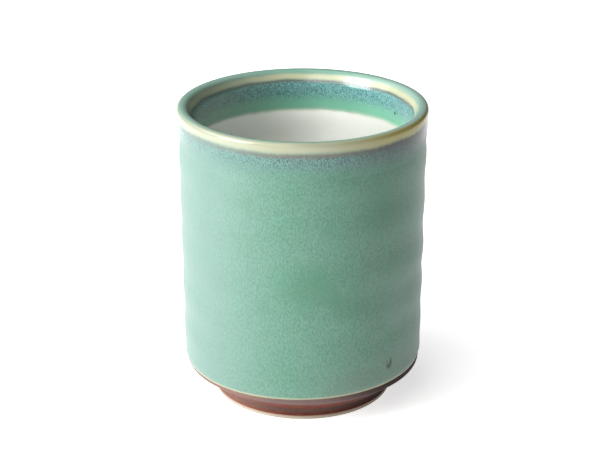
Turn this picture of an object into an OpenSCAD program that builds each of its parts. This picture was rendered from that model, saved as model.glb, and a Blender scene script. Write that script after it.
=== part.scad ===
// Brush holder pot: a thrown stoneware cylinder with a thick rolled lip and a trimmed foot ring.
// The clay carries four fired coats, each a solid of its own that meets its neighbours face to
// face. Every profile is drawn in the R-Z half plane and turned about Z. Depths are measured
// from the finished surface into the clay, so a coat and what lies under it share one curve.
// The origin is the middle of the circle that the foot stands on.

/* [Pot] */
// Diameter over the lip
lip_d = 84; // [78:1:100]
// Height from the table to the top of the lip
pot_h = 102.4; // [80:0.2:140]
// How much the wall narrows on each side from the lip down to the glaze line
wall_taper = 0.45; // [0:0.05:2]
// How far the rolled lip stands out from the wall
lip_bead = 0.5; // [0:0.05:1]

/* [Lip] */
// Thickness of the lip, from its outside to the mouth just under it
lip_w = 5.5; // [5:0.1:8]
// Radius of the lip's outer edge
outer_roll = 1.4; // [1:0.1:1.8]
// Radius of the lip's inner edge
inner_roll = 2; // [1:0.1:2.4]
// Width of the slope inside the lip
slope_w = 2.2; // [1.5:0.1:3]
// How far that slope runs down to the straight inside wall
slope_h = 4.2; // [3:0.1:5]

/* [Inside] */
// How much the inside narrows on each side down to the floor
inside_taper = 0.7; // [0:0.1:1.5]
// Height of the inside floor above the table
floor_z = 11; // [9:0.5:16]
// Radius where the inside wall turns into the floor
floor_corner = 9; // [4:0.5:14]

/* [Foot] */
// Diameter of the foot ring
foot_d = 61.2; // [50:0.2:66]
// Height of the foot ring
foot_h = 3.8; // [2:0.2:5]
// Width of the ring that the pot stands on
foot_w = 5.2; // [3:0.2:9]
// Height of the bare edge wiped clean along the bottom of the foot
wiped_edge = 1; // [0.4:0.1:1.5]
// Height of the trimmed edge where the wall turns under
trim_z = 11.2; // [9:0.2:12]

/* [Glazes] */
// Height of the lower edge of the green glaze
glaze_line_z = 12.9; // [12.6:0.1:18]
// Thickness of the green glaze and of the white liner
glaze_t = 0.6; // [0.3:0.05:0.8]
// Thickness of the second dip over the lip
rim_t = 0.25; // [0.1:0.05:0.28]
// How far the second dip reaches down the outside
rim_dip_out = 12.5; // [9:0.5:20]
// How far the second dip reaches down the inside
rim_dip_in = 9.3; // [8:0.1:12]
// How far the green collar reaches down the inside
collar_in = 13.6; // [12.5:0.1:25]
// Thickness of the iron wash on the foot
wash_t = 0.12; // [0.05:0.01:0.2]

/* [Hidden] */
lip_r = lip_d / 2;
mouth_r = lip_r - lip_w;
foot_r = foot_d / 2;
// A coat ends in a feather edge of this height
glaze_feather = 1.8;
rim_feather_out = 3;
rim_feather_in = 2;
// The slope inside the lip falls at this angle and meets the straight wall in a round of this radius
lip_slope = atan2(slope_h, slope_w);
throat_round = 3;
inner_roll_mid = [mouth_r + slope_w + inner_roll * tan(lip_slope / 2), pot_h - inner_roll];
throat_mid = [mouth_r + throat_round, pot_h - slope_h - throat_round * tan((90 - lip_slope) / 2)];
// Heights where the lip's outer radius begins, where the inside wall turns straight, and where
// the bead leaves the wall
outer_roll_z = pot_h - outer_roll;
throat_z = throat_mid[1];
bead_low_z = pot_h - 11;
bead_high_z = pot_h - 4;
// The tool cuts this much into the clay wall at the trimmed edge and leaves it rounded; from
// there the underside is a cone down to the foot
edge_round = 1.2;
trim_cut = 0.1;
trim_r = wall_r(glaze_line_z) - glaze_t - trim_cut;
under_slope = atan2(trim_z - foot_h, trim_r - foot_r);
edge_mid = [trim_r - edge_round, trim_z + edge_round * tan((90 - under_slope) / 2)];
// The wash pools in the corner over the foot with this radius
wash_pool = 1.2;
// The inside corner starts at this height
corner_z = floor_z + floor_corner;
// The standing face is rounded off towards the recess and towards the wiped edge
foot_chamfer = 0.6;
recess_draft = 0.5;
// How many straight steps a round stretch of a profile takes
lip_steps = 12;
throat_steps = 5;
corner_steps = 16;
edge_steps = 8;
bead_steps = 10;

$fn = 96;

// Eased step from 0 to 1 as t runs from 0 to 1
function ease(t) = t <= 0 ? 0 : t >= 1 ? 1 : (1 - cos(180 * t)) / 2;

// Points on an arc from angle a0 to angle a1
function arc(c, r, a0, a1, n) = [for (i = [0:n]) let (a = a0 + (a1 - a0) * i / n) c + r * [cos(a), sin(a)]];

// Finished outside radius of the glazed wall at height z
function wall_r(z) = lip_r - lip_bead
    - wall_taper * (outer_roll_z - z) / (outer_roll_z - glaze_line_z)
    + lip_bead * ease((z - bead_low_z) / (bead_high_z - bead_low_z));

// Finished inside radius at height z
function bore_r(z) = mouth_r - inside_taper * (throat_z - z) / (throat_z - corner_z);

// Outside of the wall at depth d, upwards from z0 to z1
function outside(d, z0, z1) = concat(
    [[wall_r(z0) - d, z0]],
    [for (i = [0:bead_steps]) let (z = bead_low_z + (bead_high_z - bead_low_z) * i / bead_steps)
        if (z > z0 && z < z1) [wall_r(z) - d, z]],
    [[wall_r(z1) - d, z1]]);

// Over the lip at depth d, from the outer edge, down the slope and onto the straight inside wall
function over_lip(d) = concat(
    arc([lip_r - outer_roll, outer_roll_z], outer_roll - d, 0, 90, lip_steps),
    arc(inner_roll_mid, inner_roll - d, 90, 90 + lip_slope, lip_steps),
    arc(throat_mid, throat_round - d, 90 + lip_slope, 180, throat_steps));

// Inside of the wall at depth d, at height z
function inside(d, z) = [bore_r(z) + d, z];

// Inside corner and floor at depth d, from the wall to the axis
function bowl(d) = concat(
    arc([bore_r(corner_z) - floor_corner, corner_z], floor_corner + d, 0, -90, corner_steps),
    [[0, floor_z - d]]);

// Trimmed underside of the wall with a coat of thickness t, from the foot up to the flank
function underside(t) = arc(edge_mid, edge_round + t, under_slope - 90, 0, edge_steps);

// Drops a point that repeats the one before it
function once(p) = [for (i = [0:len(p) - 1]) if (i == 0 || norm(p[i] - p[i - 1]) > 0.0001) p[i]];

function backwards(p) = [for (i = [len(p) - 1:-1:0]) p[i]];

module turned(profile) { rotate_extrude() polygon(once(profile)); }

// Thrown stoneware wall and floor
module clay_body() {
    color("tan") turned(concat(
        [[0, foot_h], [foot_r, foot_h]],
        underside(0),
        outside(glaze_t, glaze_line_z, outer_roll_z),
        over_lip(glaze_t),
        bowl(glaze_t)));
}

// Ring left standing under the floor by the trimming tool, wiped bare where it meets the table
module foot_ring() {
    inner_r = foot_r - foot_w - foot_chamfer;
    color("wheat") turned(concat(
        [[inner_r + foot_chamfer / 2, 0]],
        [[foot_r - foot_chamfer, 0]],
        [[foot_r - foot_chamfer / 3, wiped_edge / 3], [foot_r, wiped_edge], [foot_r, foot_h]],
        [[inner_r - recess_draft, foot_h], [inner_r, foot_chamfer / 2]]));
}

// White glaze poured inside, from the green collar down over the floor
module liner_glaze() {
    top_z = pot_h - collar_in;
    color("gainsboro") turned(concat(
        [inside(0, top_z)], bowl(0),
        backwards(bowl(glaze_t)), [inside(glaze_t, top_z)]));
}

// Green glaze from the glaze line up the outside, over the lip and down to the collar
module green_glaze() {
    rim_low_z = pot_h - rim_dip_out;
    rim_in_z = pot_h - rim_dip_in;
    collar_z = pot_h - collar_in;
    color("mediumaquamarine") turned(concat(
        [[wall_r(glaze_line_z) - glaze_t + wash_t, glaze_line_z]],
        outside(0, glaze_line_z + glaze_feather, rim_low_z),
        outside(rim_t, rim_low_z + rim_feather_out, outer_roll_z),
        over_lip(rim_t),
        [inside(rim_t, rim_in_z + rim_feather_in), inside(0, rim_in_z), inside(0, collar_z)],
        [inside(glaze_t, collar_z)],
        backwards(over_lip(glaze_t)),
        backwards(outside(glaze_t, glaze_line_z, outer_roll_z))));
}

// Second glaze dipped over the lip: it breaks cream on the edges and runs blue below them
module rim_glaze() {
    rim_low_z = pot_h - rim_dip_out;
    rim_in_z = pot_h - rim_dip_in;
    color("darkkhaki") turned(concat(
        outside(0, rim_low_z, outer_roll_z),
        over_lip(0),
        [inside(0, rim_in_z), inside(rim_t, rim_in_z + rim_feather_in)],
        backwards(over_lip(rim_t)),
        backwards(outside(rim_t, rim_low_z + rim_feather_out, outer_roll_z))));
}

// Iron wash brushed on the foot and the underside, up to the glaze line
module foot_wash() {
    pool = wash_t + wash_pool;
    pool_mid = [foot_r + pool, foot_h - pool * (1 - sin(under_slope)) / cos(under_slope)];
    flank_r = wall_r(glaze_line_z) - glaze_t;
    color("saddlebrown") turned(concat(
        [[foot_r, wiped_edge], [foot_r + wash_t, wiped_edge]],
        arc(pool_mid, wash_pool, 180, 90 + under_slope, edge_steps),
        underside(wash_t),
        [[flank_r + wash_t, glaze_line_z], [flank_r, glaze_line_z]],
        backwards(underside(0)),
        [[foot_r, foot_h]]));
}

clay_body();
foot_ring();
liner_glaze();
green_glaze();
rim_glaze();
foot_wash();
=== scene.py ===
from math import atan2, cos, exp, hypot, pi, radians, sin, tan

import bmesh
import bpy
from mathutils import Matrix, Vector, noise


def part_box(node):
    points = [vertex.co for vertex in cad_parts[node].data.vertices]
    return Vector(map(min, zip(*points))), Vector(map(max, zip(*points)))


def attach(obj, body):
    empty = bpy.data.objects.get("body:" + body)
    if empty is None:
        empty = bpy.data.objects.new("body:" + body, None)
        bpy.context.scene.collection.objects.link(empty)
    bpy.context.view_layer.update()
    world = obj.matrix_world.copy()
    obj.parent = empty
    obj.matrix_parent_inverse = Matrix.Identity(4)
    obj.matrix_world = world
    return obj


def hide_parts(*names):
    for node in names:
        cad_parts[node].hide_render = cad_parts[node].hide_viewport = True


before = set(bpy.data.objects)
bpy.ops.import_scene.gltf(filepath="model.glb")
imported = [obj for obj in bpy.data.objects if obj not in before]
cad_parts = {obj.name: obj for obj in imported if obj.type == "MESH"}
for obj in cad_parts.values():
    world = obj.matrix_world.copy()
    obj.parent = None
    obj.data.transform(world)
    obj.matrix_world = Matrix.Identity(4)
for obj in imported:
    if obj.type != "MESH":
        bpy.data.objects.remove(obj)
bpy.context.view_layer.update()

mm = 0.001


# ---- Clay body -----------------------------------------------------------------------------------
# The pot is thrown on the wheel from one ball of grey-buff stoneware: a straight wall with a thick
# lip that slopes off inside, and a floor. The coats cover all of it but the recess under the floor.

# Places in the frame, and how thick each coat lies on the clay.
lip_r, lip_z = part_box("rim_glaze")[1].x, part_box("rim_glaze")[1].z
glaze_line_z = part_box("green_glaze")[0].z
collar_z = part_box("liner_glaze")[1].z
foot_h, foot_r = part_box("foot_ring")[1].z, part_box("foot_ring")[1].x
glaze_t, rim_t, wash_t = 0.6 * mm, 0.25 * mm, 0.12 * mm

# The finished, glazed surface, outside and inside.
wall_top_r, wall_low_r = lip_r - 0.5 * mm, lip_r - 0.95 * mm
bead_low_z, bead_high_z, bead_ease = lip_z - 9 * mm, lip_z - 5.5 * mm, 2.2 * mm
outer_roll, inner_roll, throat_round = 1.4 * mm, 2 * mm, 3 * mm
mouth_r, bore_low_r = lip_r - 5.5 * mm, lip_r - 6.2 * mm
slope_w, slope_h = 2.2 * mm, 4.2 * mm
slope_turn = atan2(slope_h, slope_w)
roll_mid_r = mouth_r + slope_w + inner_roll * tan(slope_turn / 2)
throat_z = lip_z - slope_h - throat_round * tan((pi / 2 - slope_turn) / 2)
floor_z, floor_corner = 11 * mm, 9 * mm
trim_r, trim_z, trim_round = wall_low_r - glaze_t - 0.1 * mm, 11.2 * mm, 0.6 * mm

# What the hand leaves on it: throwing rings and an uneven wall, the tilt and wave of the glaze
# line, the wave of the collar, and a pit at an angle round the pot in degrees.
ring_pitch, ring_low_z, ring_depth, ring_drift = 15.4 * mm, 16.4 * mm, 0.16 * mm, 2.5 * mm
uneven = 0.12 * mm
line_tilt_x, line_tilt_y, line_wave = 0.6 * mm, 0.2 * mm, 0.1 * mm
collar_wave = 0.7 * mm
pit_turn, pit_z, pit_w, pit_h, pit_depth = -45.2, 20.6 * mm, 0.9 * mm, 1.7 * mm, 0.2 * mm
flank_r = 41 * mm        # about how far out the glazed wall is

grid = 1.0 * mm          # how long an edge of a finished mesh may be along the profile
curve_step = 0.25 * mm   # how much of a rounding one straight step takes
turns = 300              # faces round the pot


def ease(value, low, high):
    """Eased step from 0 at low to 1 at high."""
    t = min(1, max(0, (value - low) / (high - low)))
    return t * t * (3 - 2 * t)


def by_hand(point):
    """Where the potter's hand puts a point of the ideal turned pot. Every piece goes through it,
    so the coats stay on their clay: soft throwing rings, a glaze line and a collar that aren't
    level, and one small pit low on the wall."""
    r, z = hypot(point.x, point.y), point.z
    if r < bore_low_r - floor_corner:
        return point
    around = Vector((point.x / r, point.y / r, 0))
    outside = ease(r, mouth_r + 1.5 * mm, mouth_r + 3 * mm)

    # The rings fade out at both ends of the wall.
    thrown = ease(z, trim_z + 3 * mm, trim_z + 12 * mm)
    thrown *= 1 - ease(z, lip_z - 12 * mm, lip_z - 5 * mm)
    if thrown:
        drift = noise.noise(around * 0.9 + Vector((0, 0, z / (38 * mm))))
        wobble = noise.noise(around * 1.6 + Vector((5, 3, z / (9 * mm))))
        ring = -cos(2 * pi * (z - ring_low_z + ring_drift * drift) / ring_pitch) * (1 + 0.8 * drift)
        r += thrown * (2 * outside - 1) * (ring_depth * ring + uneven * wobble)

    across = flank_r * (atan2(point.y, point.x) - radians(pit_turn))
    pit = ((across / pit_w) ** 2 + ((z - pit_z) / pit_h) ** 2) * outside
    if outside and pit < 9:
        r -= pit_depth * exp(-pit)

    # The glaze line and the collar carry what is just above and below them along.
    near_line = ease(z, trim_z + 0.9 * mm, glaze_line_z)
    near_line *= 1 - ease(z, glaze_line_z, glaze_line_z + 9 * mm)
    if outside and near_line:
        wave = line_wave * noise.noise(around * 4)
        z += near_line * (line_tilt_x * around.x + line_tilt_y * around.y + wave)
    near_collar = ease(z, collar_z - 8 * mm, collar_z) * (1 - ease(z, collar_z, collar_z + 6 * mm))
    if near_collar and outside < 1:
        wave = collar_wave * noise.noise(around * 1.7 + Vector((0, 8, 0)))
        z += (1 - outside) * near_collar * wave
    return Vector((around.x * r, around.y * r, z))


def turned(name, outline):
    """A closed solid turned about Z. The outline runs round the section in corners of radius,
    height and rounding, which is how far from its corner a curve begins; a stretch along the axis
    itself is left out."""
    bm = bmesh.new()
    corners = [bm.verts.new((r, 0, z)) for r, z, _ in outline]
    for a, b in zip(corners, corners[1:] + corners[:1]):
        if a.co.x or b.co.x:
            bm.edges.new((a, b))
    for corner, (_, _, rounding) in zip(corners, outline):
        if rounding:
            bmesh.ops.bevel(bm, geom=[corner], offset=rounding, offset_type="OFFSET",
                            segments=max(4, round(rounding / curve_step)), profile=0.5,
                            affect="VERTICES", material=-1)
    for edge in list(bm.edges):
        cuts = int(edge.calc_length() / grid)
        if cuts:
            bmesh.ops.subdivide_edges(bm, edges=[edge], cuts=cuts)
    bmesh.ops.spin(bm, geom=bm.verts[:] + bm.edges[:], cent=(0, 0, 0), axis=(0, 0, 1),
                   angle=2 * pi, steps=turns, use_merge=True)
    bmesh.ops.remove_doubles(bm, verts=bm.verts, dist=0.001 * mm)

    # The pit is smaller than the grid, so the faces round it are cut finer.
    pit = Vector((lip_r * cos(radians(pit_turn)), lip_r * sin(radians(pit_turn)), pit_z))
    near_pit = [e for e in bm.edges if all((v.co - pit).length < 4 * mm for v in e.verts)]
    bmesh.ops.subdivide_edges(bm, edges=near_pit, cuts=2, use_grid_fill=True)

    bmesh.ops.recalc_face_normals(bm, faces=bm.faces)
    for vert in bm.verts:
        vert.co = by_hand(vert.co)
    for face in bm.faces:
        face.smooth = True
    mesh = bpy.data.meshes.new(name)
    bm.to_mesh(mesh)
    bm.free()
    mesh.set_sharp_from_angle(angle=radians(35))
    piece = bpy.data.objects.new(name, mesh)
    bpy.context.scene.collection.objects.link(piece)
    return piece


def wall(t, low_z):
    """Outline corners up the outside at depth t, from low_z to the lip's bead."""
    share = (low_z - glaze_line_z) / (bead_low_z - glaze_line_z)
    low_r = wall_low_r + (wall_top_r - wall_low_r) * share
    return [(low_r - t, low_z, 0),
            (wall_top_r - t, bead_low_z, bead_ease),
            (lip_r - t, bead_high_z, bead_ease)]


def over_lip(t):
    """Outline corners over the lip at depth t, from the outside in and down the slope."""
    roll = (inner_roll - t) * tan(slope_turn / 2)
    throat = (throat_round - t) * tan((pi / 2 - slope_turn) / 2)
    return [(lip_r - t, lip_z - t, outer_roll - t),
            (roll_mid_r - roll, lip_z - t, roll),
            (mouth_r + t, throat_z + throat, throat)]


def bore(t, z):
    """Outline corner on the inside of the wall at depth t and height z."""
    share = (throat_z - z) / (throat_z - floor_z - floor_corner)
    return (mouth_r + (bore_low_r - mouth_r) * share + t, z, 0)


def bowl(t):
    """Outline corners round the inside floor at depth t, from the wall to the axis."""
    return [(bore_low_r + t, floor_z - t, floor_corner + t), (0, floor_z - t, 0)]


underside = [(trim_r, trim_z, trim_round), (wall_low_r - glaze_t, glaze_line_z, 0)]


class Varying:
    """A number that varies over a surface. Arithmetic on it adds Math nodes to its paint."""

    def __init__(self, paint, socket):
        self.paint, self.socket = paint, socket

    def math(self, operation, *inputs):
        return self.paint.node("Math", {"operation": operation}, dict(enumerate(inputs)))

    def __add__(self, other):
        return self.math("ADD", self, other)

    def __radd__(self, other):
        return self.math("ADD", other, self)

    def __sub__(self, other):
        return self.math("SUBTRACT", self, other)

    def __rsub__(self, other):
        return self.math("SUBTRACT", other, self)

    def __mul__(self, other):
        return self.math("MULTIPLY", self, other)

    def __rmul__(self, other):
        return self.math("MULTIPLY", other, self)

    def __truediv__(self, other):
        return self.math("DIVIDE", self, other)

    def __pow__(self, other):
        return self.math("POWER", self, other)


class Paint:
    """A procedural finish, made on the piece's own Object coordinates."""

    def __init__(self, name, **constants):
        self.material = bpy.data.materials.new(name)
        self.material.use_nodes = True
        self.tree = self.material.node_tree
        self.shader = self.tree.nodes["Principled BSDF"]
        for socket, value in constants.items():
            self.shader.inputs[socket.replace("_", " ")].default_value = value
        self.place = self.node("TexCoord", out="Object")
        apart = self.node("SeparateXYZ", {}, {0: self.place}, out=None)
        self.x, self.y, self.z = (Varying(self, s) for s in apart.outputs)
        self.r = (self.x * self.x + self.y * self.y) ** 0.5

    def node(self, kind, settings=None, inputs=None, out=0):
        """Adds a node, gives it its settings and then its inputs, and returns one output."""
        made = self.tree.nodes.new("ShaderNode" + kind)
        for key, value in (settings or {}).items():
            setattr(made, key, value)
        for key, value in (inputs or {}).items():
            if isinstance(value, Varying):
                self.tree.links.new(value.socket, made.inputs[key])
            else:
                made.inputs[key].default_value = value
        return made if out is None else Varying(self, made.outputs[out])

    def rise(self, value, low, high):
        """0 below low, 1 above high, eased between."""
        return self.node("MapRange", {"interpolation_type": "SMOOTHSTEP"},
                         {0: value, 1: low, 2: high})

    def band(self, value, low, high, soft):
        """1 between low and high, fading over soft at each end."""
        return self.rise(value - low, -soft, soft) * (1 - self.rise(value - high, -soft, soft))

    def grain(self, size, stretch=1, detail=2.0, rough=0.5, shift=0.0):
        """Noise from 0 to 1 with grains of about size, drawn out up the wall by stretch."""
        scaled = self.node("Mapping", {}, {0: self.place, 1: (shift, shift, shift),
                                           3: (1 / size, 1 / size, 1 / (size * stretch))})
        return self.node("TexNoise", {}, {"Vector": scaled, "Scale": 1.0, "Detail": detail,
                                          "Roughness": rough})

    def patch(self, turn, height, wide, high, ragged=0.0, edge=0.2):
        """1 in an oval on the wall at an angle round the pot and a height, fading outwards."""
        x, y = flank_r * cos(radians(turn)), flank_r * sin(radians(turn))
        across = ((self.x - x) ** 2 + (self.y - y) ** 2) / wide ** 2
        away = (across + ((self.z - height) / high) ** 2) ** 0.5
        return 1 - self.rise(away + ragged, edge, 1)

    def mix(self, share, a, b):
        """Colour a where share is 0, colour b where it is 1."""
        return self.node("Mix", {"data_type": "RGBA"}, {0: share, 6: a, 7: b}, out=2)

    def finish(self, colour, roughness=None, height=None, relief=1.0, coat=None):
        """Plugs the finish into the shader. Relief is the depth that height 1 stands for."""
        self.tree.links.new(colour.socket, self.shader.inputs["Base Color"])
        if roughness is not None:
            self.tree.links.new(roughness.socket, self.shader.inputs["Roughness"])
        if coat is not None:
            self.tree.links.new(coat.socket, self.shader.inputs["Coat Weight"])
        if height is not None:
            bump = self.node("Bump", {}, {"Height": height, "Distance": relief})
            self.tree.links.new(bump.socket, self.shader.inputs["Normal"])
        return self.material


def colour(code):
    """A linear colour from its screen code."""
    parts = [int(code[i:i + 2], 16) / 255 for i in (0, 2, 4)]
    return tuple(c / 12.92 if c <= 0.04045 else ((c + 0.055) / 1.055) ** 2.4 for c in parts) + (1,)


def bare_clay(name, pale, dark):
    """Bare fired stoneware: sandy, with turning marks and a few iron specks."""
    iron_brown = colour("5b4234")
    paint = Paint(name, IOR=1.45)
    sand = paint.grain(0.35 * mm, detail=4)
    marks = paint.node("TexWave", {"wave_type": "RINGS", "rings_direction": "Z"},
                       {"Vector": paint.place, "Scale": 260.0, "Distortion": 1.2, "Detail": 2.0})
    iron = paint.rise(paint.grain(0.5 * mm, shift=7.0), 0.68, 0.74)
    tone = paint.mix(sand * 0.7 + marks * 0.3, colour(dark), colour(pale))
    tone = paint.mix(iron * 0.6, tone, iron_brown)
    return paint.finish(tone, 0.75 + sand * 0.15, sand * 0.5 + marks, 0.05 * mm)


clay_body = turned("thrown_body", [
    (0, foot_h, 0), (foot_r, foot_h, 0), *underside, *wall(glaze_t, glaze_line_z + 0.1 * mm)[1:],
    *over_lip(glaze_t), bore(glaze_t, throat_z - 4 * mm), *bowl(glaze_t)])
clay_body.data.materials.append(bare_clay("grey_buff_stoneware", "b3a18b", "98856f"))
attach(clay_body, "root")
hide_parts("clay_body")


# ---- Foot ring -----------------------------------------------------------------------------------
# The ring is left standing when the underside is trimmed. It is the same clay as the body. The
# edge that meets the table is sponged clean of wash, so it fires to pale bare clay.

foot_inner_r, stand_inner_r, stand_r = foot_r - 6.3 * mm, foot_r - 5.5 * mm, foot_r - 0.25 * mm
stand_round, bevel_z = 0.4 * mm, 0.3 * mm
wiped_z = 1.0 * mm

foot_ring = turned("trimmed_foot_ring", [
    (stand_inner_r, 0, stand_round), (stand_r, 0, 0), (foot_r, bevel_z, 0), (foot_r, foot_h, 0),
    (foot_inner_r, foot_h, 0)])
foot_ring.data.materials.append(bare_clay("wiped_pale_clay", "aaa192", "958a7a"))
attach(foot_ring, "root")
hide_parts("foot_ring")


# ---- Iron wash -----------------------------------------------------------------------------------
# A thin wash of iron oxide is brushed on the trimmed underside and the side of the foot. It fires
# to a dry red brown, greyer where it lies thick in the corner and under the glaze line.

pool_r, pool_z, pool_round = foot_r + wash_t, foot_h - 0.05 * mm, 1.1 * mm
foot_wash = turned("brushed_iron_wash", [
    (foot_r, wiped_z, 0), (pool_r, wiped_z, 0), (pool_r, pool_z, pool_round),
    (trim_r + wash_t, trim_z - 0.05 * mm, trim_round),
    (wall_low_r - glaze_t + wash_t, glaze_line_z, 0),
    *reversed(underside), (foot_r, foot_h, 0)])


def iron_wash():
    """Red brown brush strokes round the foot, with a grey pool, a grey edge and a wiped edge, and
    painted light and painted shade on its two sides.
    """
    dark_red, red_brown, dry_black = colour("4a251d"), colour("713829"), colour("1d0c09")
    pool_grey, edge_grey = colour("4b4440"), colour("69605e")
    painted_light_tan, painted_shade_black, bare = colour("8a6a5e"), colour("160a08"), colour("a59786")

    paint = Paint("iron_oxide_wash", IOR=1.5, Specular_IOR_Level=0.1)
    brushed = paint.grain(3 * mm, stretch=0.08, detail=3, rough=0.6)
    dry = paint.grain(0.3 * mm, detail=3)
    tone = paint.mix(paint.rise(brushed, 0.3, 0.7), dark_red, red_brown)
    pooled = paint.band(paint.z + (brushed - 0.5) * 1.2 * mm, 2.6 * mm, 4.6 * mm, 0.6 * mm)
    tone = paint.mix(pooled * 0.7, tone, pool_grey)
    thick = paint.rise(paint.z, trim_z - 2.2 * mm, trim_z - 0.6 * mm)
    tone = paint.mix(thick * 0.7, tone, edge_grey)

    # Painted light: the wash is paler on the lit left side, where the mask is called thin. Painted
    # shade: it goes near black on the shaded right side.
    thin = paint.rise(0 - paint.x, 4 * mm, 30 * mm)
    shaded_right = paint.rise(paint.x, 4 * mm, 32 * mm)
    tone = paint.mix(thin * 0.5, tone, painted_light_tan)
    tone = paint.mix(paint.rise(dry, 0.4, 0.75) * 0.3, tone, dry_black)
    tone = paint.mix(shaded_right * 0.8, tone, painted_shade_black)

    ragged_z = paint.z + (dry - 0.5) * 0.3 * mm
    wiped = 1 - paint.rise(ragged_z, wiped_z + 0.2 * mm, wiped_z + 0.6 * mm)
    tone = paint.mix(wiped * 0.85, tone, bare)
    return paint.finish(tone, 0.6 + dry * 0.2, dry + brushed, 0.05 * mm)


foot_wash.data.materials.append(iron_wash())
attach(foot_wash, "root")
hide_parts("foot_wash")


# ---- White liner glaze ---------------------------------------------------------------------------
# White glaze is poured inside first and swilled round over the floor and up the wall. It fires
# thick and glossy, and takes a little green where the collar runs into it.

liner = turned("poured_white_liner", [
    bore(0, collar_z), *bowl(0), *reversed(bowl(glaze_t)), bore(glaze_t, collar_z)])


def green_into_white(paint, white, green):
    """The colour down the inside, where the green collar ends and the white liner begins."""
    edge_cream = colour("a3a886")
    runs = paint.grain(9 * mm, stretch=1.2, detail=2)
    edge = paint.z + (runs - 0.5) * 1.8 * mm
    line = paint.band(edge, collar_z - 0.4 * mm, collar_z + 0.6 * mm, 0.8 * mm)
    collar = paint.rise(edge, collar_z - 1.1 * mm, collar_z + 1.2 * mm)
    return paint.mix(line * 0.4, paint.mix(collar, white, green), edge_cream)


def white_liner():
    """Glossy white, with painted shade greying the right side and painted fill light whitening the
    left.
    """
    cool_white, clean_white = colour("dadbd4"), colour("e4e5df")
    painted_shade_grey, painted_fill_white, collar_green = colour("a8aca4"), colour("f6f7f2"), colour("6ba38b")

    paint = Paint("white_liner_glaze", IOR=1.5, Coat_Weight=0.3, Coat_Roughness=0.06)
    cloud = paint.grain(9 * mm, detail=3)
    white = paint.mix(cloud, cool_white, clean_white)
    # Painted shade greys the right side and painted fill light whitens the left.
    white = paint.mix(paint.rise(paint.x, 6 * mm, 36 * mm) * 0.75, white, painted_shade_grey)
    white = paint.mix(paint.rise(0 - paint.x, 10 * mm, 36 * mm) * 0.5, white, painted_fill_white)
    tone = green_into_white(paint, white, collar_green)
    return paint.finish(tone, 0.14 + cloud * 0.06, cloud, 0.05 * mm)


liner.data.materials.append(white_liner())
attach(liner, "root")
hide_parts("liner_glaze")


# ---- Green glaze ---------------------------------------------------------------------------------
# The pot is dipped in a satin green glaze down to a line just over the trimmed edge, and a collar
# of it reaches inside. It pools darker in soft patches and thins to cream at its edge.

rim_low_z, rim_in_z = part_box("rim_glaze")[0].z, lip_z - 9.3 * mm
glaze_feather, rim_feather_out, rim_feather_in = 1.8 * mm, 3 * mm, 2 * mm
bead_top_z, bead_top_round = bead_high_z + 1 * mm, 1.5 * mm

green = turned("dipped_green_glaze", [
    (wall_low_r - glaze_t + wash_t, glaze_line_z, 0),
    *wall(0, glaze_line_z + glaze_feather)[:1],
    *wall(0, rim_low_z)[:1],
    *wall(rim_t, rim_low_z + rim_feather_out)[:1],
    (lip_r - rim_t, bead_top_z, bead_top_round),
    *over_lip(rim_t),
    bore(rim_t, rim_in_z + rim_feather_in), bore(0, rim_in_z), bore(0, collar_z),
    bore(glaze_t, collar_z),
    *reversed(over_lip(glaze_t)),
    *reversed(wall(glaze_t, glaze_line_z))])


class Glazed(Paint):
    """The paint of both glazes of the outside and the lip, with what all of their bands share."""

    def __init__(self, name):
        super().__init__(name, IOR=1.5, Specular_IOR_Level=0.42, Coat_Roughness=0.06)
        self.fine = self.grain(0.5 * mm, stretch=1.7, detail=1)
        self.cloud = self.grain(12 * mm, stretch=0.6, detail=4, rough=0.55, shift=9.0)
        self.runs = self.grain(1.5 * mm, stretch=3, detail=3, rough=0.6, shift=3.0)
        self.right = self.rise(self.x, 6 * mm, 38 * mm)
        self.left = self.rise(0 - self.x, 4 * mm, 34 * mm)
        self.near = self.rise(0 - self.y, 2 * mm, 36 * mm)

        # Distances from a circle on top of the lip: over its outer edge, and down the inside.
        crest_r = mouth_r + 2.8 * mm
        depth = lip_z - self.z
        self.outside = self.rise(self.r, crest_r - 0.1 * mm, crest_r + 0.1 * mm)
        self.out = self.r - crest_r + depth
        self.into = crest_r - self.r + depth


def wall_green(paint):
    """The wall: a satin green, darker where it pools and paler where it has run thin, with a painted
    sheen on the lit left side and painted shade on the right.
    """
    deep_green, even_green = colour("476e5c"), colour("55806e")
    pool_green, thin_green, painted_sheen_green = colour("376a50"), colour("69877c"), colour("677b79")
    low_grey, shade_green = colour("6a746c"), colour("20302a")

    ragged = (paint.cloud - 0.5) * 1.8
    pools = paint.patch(-86, 53 * mm, 15 * mm, 11 * mm, ragged)
    pools = pools + paint.patch(-68, 46 * mm, 10 * mm, 7 * mm, ragged) * 0.7
    pools = pools + paint.patch(-50, 78 * mm, 13 * mm, 14 * mm, ragged) * 0.7
    pools = pools + paint.rise(paint.cloud, 0.52, 0.72) * 0.45
    thin = paint.patch(-36, 40 * mm, 14 * mm, 18 * mm, ragged)
    thin = thin + paint.rise(0.5 - paint.cloud, 0.0, 0.2) * 0.4
    low = (1 - paint.rise(paint.z, 14 * mm, 30 * mm)) * paint.rise(paint.x, -5 * mm, 20 * mm)

    tone = paint.mix(paint.rise(paint.fine, 0.28, 0.7), deep_green, even_green)
    tone = paint.mix(pools * 0.55, tone, pool_green)
    tone = paint.mix(thin * 0.35, tone, thin_green)
    # Painted sheen: a pale haze of the soft box's reflection on the left. Then painted shade on the
    # right.
    tone = paint.mix(paint.left * 0.55, tone, painted_sheen_green)
    tone = paint.mix(low * 0.35, tone, low_grey)
    return paint.mix(paint.right * 0.2, tone, shade_green)


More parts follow.
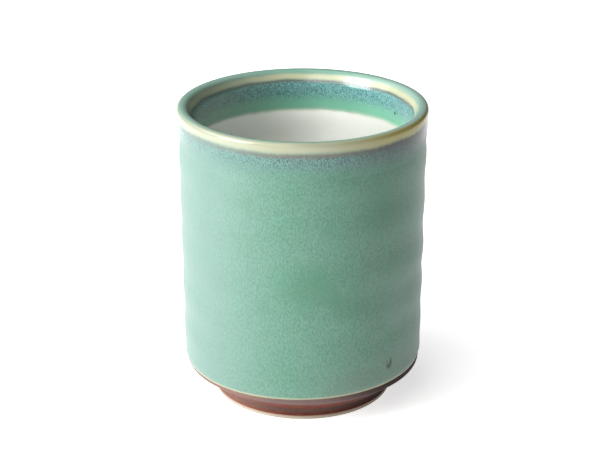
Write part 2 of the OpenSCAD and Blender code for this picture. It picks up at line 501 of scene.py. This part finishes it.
def lip_green(paint):
    """The clearer green on top of the lip, and the collar of it inside."""
    top_a, top_b, top_pale = colour("668c7d"), colour("749a8a"), colour("8aa397")
    collar_a, collar_b = colour("659b83"), colour("70aa92")

    pale = paint.right * 0.7 + paint.near * 0.3 + paint.left * 0.5
    top = paint.mix(pale, paint.mix(paint.cloud, top_a, top_b), top_pale)
    inner = (1 - paint.outside) * paint.rise(paint.into, 4 * mm, 9 * mm)
    return paint.mix(inner, top, paint.mix(paint.cloud, collar_a, collar_b))


def run_down(paint, way, cream_from, cream_to, blue_from, blue_to):
    """How cream, how brown and how blue the glaze is along one way down from the lip."""
    wavy = (paint.cloud - 0.5) * 1.6 * mm + (paint.runs - 0.5) * 0.5 * mm
    cream = paint.band(way + wavy, cream_from, cream_to, 0.9 * mm)
    brown = paint.band(way + wavy, cream_to + 0.1 * mm, cream_to + 1.6 * mm, 0.8 * mm)
    faded = way + (paint.runs - 0.5) * 3 * mm
    blue = paint.rise(faded, cream_to - 0.2 * mm, cream_to + 1.4 * mm)
    return cream, brown, blue * (1 - paint.rise(faded, blue_from, blue_to))


def lip_bands(paint, tone):
    """The second dip over the green: speckled blue, a brown line, and cream on the edges."""
    blue_pale = paint.mix(paint.outside, colour("70a29b"), colour("587f77"))
    blue_dark = paint.mix(paint.outside, colour("416072"), colour("31454c"))
    painted_shade_blue, brown_grey, painted_shade_brown = colour("1a2524"), colour("5b5049"), colour("211b1a")
    cream_in_a, cream_in_b = colour("a4a684"), colour("b2b398")
    cream_out_a, cream_out_b = colour("82846c"), colour("8d8f7c")
    olive, grey_cream, painted_fill_pale = colour("92894e"), colour("8c917f"), colour("a9bfb2")

    inside = 1 - paint.outside
    cream_start = 2.4 * mm - paint.near * 0.8 * mm
    cream_out, brown_out, blue_out = run_down(paint, paint.out, cream_start, 5.8 * mm, 8 * mm, 15 * mm)
    cream_in, brown_in, blue_in = run_down(paint, paint.into, 2.5 * mm, 4.9 * mm, 9.5 * mm, 14.4 * mm)
    cream = paint.outside * cream_out + inside * cream_in
    brown = paint.outside * brown_out * (1 - paint.left * 0.5) + inside * brown_in
    blue = paint.outside * blue_out * (1 - paint.left * 0.35) + inside * blue_in

    specks = paint.rise(paint.grain(0.38 * mm, stretch=1.3, detail=1.5, shift=5.0), 0.4, 0.64)
    outer_right, outer_left = paint.outside * paint.right, paint.outside * paint.left
    tone = paint.mix(blue * 0.9, tone, paint.mix(specks, blue_pale, blue_dark))
    # Painted shade: the blue and the brown go near black on the shaded right of the outside.
    tone = paint.mix(blue * outer_right * 0.8, tone, painted_shade_blue)
    tone = paint.mix(brown * 0.75, tone, paint.mix(outer_right, brown_grey, painted_shade_brown))

    cream_tone = paint.mix(paint.cloud, cream_in_a, cream_in_b)
    cream_outer = paint.mix(paint.cloud, cream_out_a, cream_out_b)
    cream_tone = paint.mix(paint.outside * 0.8, cream_tone, cream_outer)
    cream_tone = paint.mix(outer_right, cream_tone, olive)
    cream_tone = paint.mix(outer_left * 0.7, cream_tone, grey_cream)
    tone = paint.mix(cream, tone, cream_tone)
    # Painted fill light pales the inside on the left.
    return paint.mix(inside * paint.left * 0.2, tone, painted_fill_pale)


def small_marks(paint, tone):
    """The thin edge of the glaze, one iron speck inside, and a dark rim round the pit."""
    edge_cream, iron_black, pit_olive = colour("a09a7c"), colour("2a2f2a"), colour("29341d")
    speck_place = (31.6 * mm, 18.0 * mm, 93.0 * mm)

    tilt = (paint.x * line_tilt_x + paint.y * line_tilt_y) / wall_low_r
    above = paint.z - tilt + (paint.runs - 0.5) * 0.5 * mm
    edge = 1 - paint.rise(above, glaze_line_z, glaze_line_z + 1.0 * mm)
    tone = paint.mix(paint.outside * edge * 0.75, tone, edge_cream)

    away = paint.node("VectorMath", {"operation": "DISTANCE"}, {0: paint.place, 1: speck_place}, out=1)
    tone = paint.mix((1 - paint.rise(away, 0.3 * mm, 0.8 * mm)) * 0.85, tone, iron_black)

    hollow = paint.patch(pit_turn - 0.2, pit_z + 0.9 * mm, 0.9 * mm, 2.0 * mm, edge=0.3)
    halo = paint.patch(pit_turn, pit_z, 1.7 * mm, 2.7 * mm, edge=0.5)
    return paint.mix(halo * (1 - hollow) * 0.95, tone, pit_olive)


def dipped_glazes(name):
    """Both glazes of the outside and the lip, laid out by height so that they melt together. The
    wall is satin, and the gloss comes back towards the lip."""
    white = colour("dbdcd5")
    paint = Glazed(name)
    below = paint.outside * paint.rise(paint.out, 4 * mm, 6 * mm)
    tone = paint.mix(below, lip_green(paint), wall_green(paint))
    tone = small_marks(paint, lip_bands(paint, tone))
    low_inside = (1 - paint.outside) * (1 - paint.rise(paint.z, collar_z - 3 * mm, collar_z + 3 * mm))
    tone = paint.mix(low_inside, tone, green_into_white(paint, white, tone))

    satin = paint.outside * paint.rise(paint.out, 6 * mm, 14 * mm)
    relief = paint.fine * (satin * 0.8 + 0.2) + paint.runs * (satin * 0.5 + 0.1)
    roughness = 0.13 + satin * 0.26 + paint.fine * 0.04
    return paint.finish(tone, roughness, relief, 0.05 * mm, 0.1 - satin * 0.1)


green.data.materials.append(dipped_glazes("satin_green_glaze"))
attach(green, "root")
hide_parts("green_glaze")


# ---- Rim glaze -----------------------------------------------------------------------------------
# A second glaze is dipped over the lip. It fluxes the green under it: cream where it thins on the
# edges, green where it pools on top, and blue specks where it runs, feathering out into the green.

rim = turned("second_dip_on_lip", [
    *wall(0, rim_low_z)[:1], (lip_r, bead_top_z, bead_top_round), *over_lip(0),
    bore(0, rim_in_z), bore(rim_t, rim_in_z + rim_feather_in),
    *reversed(over_lip(rim_t)),
    (lip_r - rim_t, bead_top_z, bead_top_round),
    *wall(rim_t, rim_low_z + rim_feather_out)[:1]])
rim.data.materials.append(dipped_glazes("breaking_rim_glaze"))
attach(rim, "root")
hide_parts("rim_glaze")


# ---- Studio --------------------------------------------------------------------------------------
# A white light table that runs on out of sight, three soft lights on the left and overhead, a dim
# pale room, and a long lens looking down on the pot from in front.

table_bm = bmesh.new()
bmesh.ops.create_circle(table_bm, cap_ends=True, radius=20, segments=64)
table_mesh = bpy.data.meshes.new("table")
table_bm.to_mesh(table_mesh)
table_bm.free()
table = bpy.data.objects.new("table", table_mesh)
bpy.context.scene.collection.objects.link(table)
white = (1, 1, 1, 1)
table_paint = Paint("white_table", Roughness=0.6, Specular_IOR_Level=0.2, Emission_Color=white,
                    Emission_Strength=0.67)
paper = table_paint.mix(table_paint.grain(0.3, detail=1), colour("f4f4f3"), colour("f6f6f5"))
table.data.materials.append(table_paint.finish(paper))


def soft_light(name, direction, away, size, power):
    """A rectangular soft box that faces the middle of the pot from a direction."""
    data = bpy.data.lights.new(name, "AREA")
    data.shape, data.size, data.size_y, data.energy = "RECTANGLE", *size, power
    lamp = bpy.data.objects.new(name, data)
    bpy.context.scene.collection.objects.link(lamp)
    lamp.location = pot_middle + Vector(direction).normalized() * away
    lamp.rotation_euler = (pot_middle - lamp.location).to_track_quat("-Z", "Y").to_euler()


pot_middle = Vector((0, 0, lip_z / 2))
soft_light("soft_box", (-0.633, -0.411, 0.656), 1.0, (1.8, 0.5), 11.5)
soft_light("side_light", (-0.87, -0.42, 0.4), 1.0, (0.5, 0.6), 13)
soft_light("top_panel", (-0.50, 0.05, 0.86), 1.1, (1.4, 1.2), 8)

room = bpy.data.worlds.new("pale_room")
room.use_nodes = True
background = room.node_tree.nodes["Background"]
background.inputs["Color"].default_value = white
background.inputs["Strength"].default_value = 0.07
bpy.context.scene.world = room
bpy.context.scene.view_settings.view_transform = "Standard"

look_down, camera_away = radians(22.4), 0.589
camera_data = bpy.data.cameras.new("camera")
camera_data.sensor_width, camera_data.lens = 36, 102.7
camera_data.shift_x, camera_data.shift_y = -0.0045, 0.034
camera = bpy.data.objects.new("camera", camera_data)
bpy.context.scene.collection.objects.link(camera)
camera.location = pot_middle + camera_away * Vector((0, -cos(look_down), sin(look_down)))
camera.rotation_euler = (pi / 2 - look_down, 0, 0)
bpy.context.scene.camera = camera
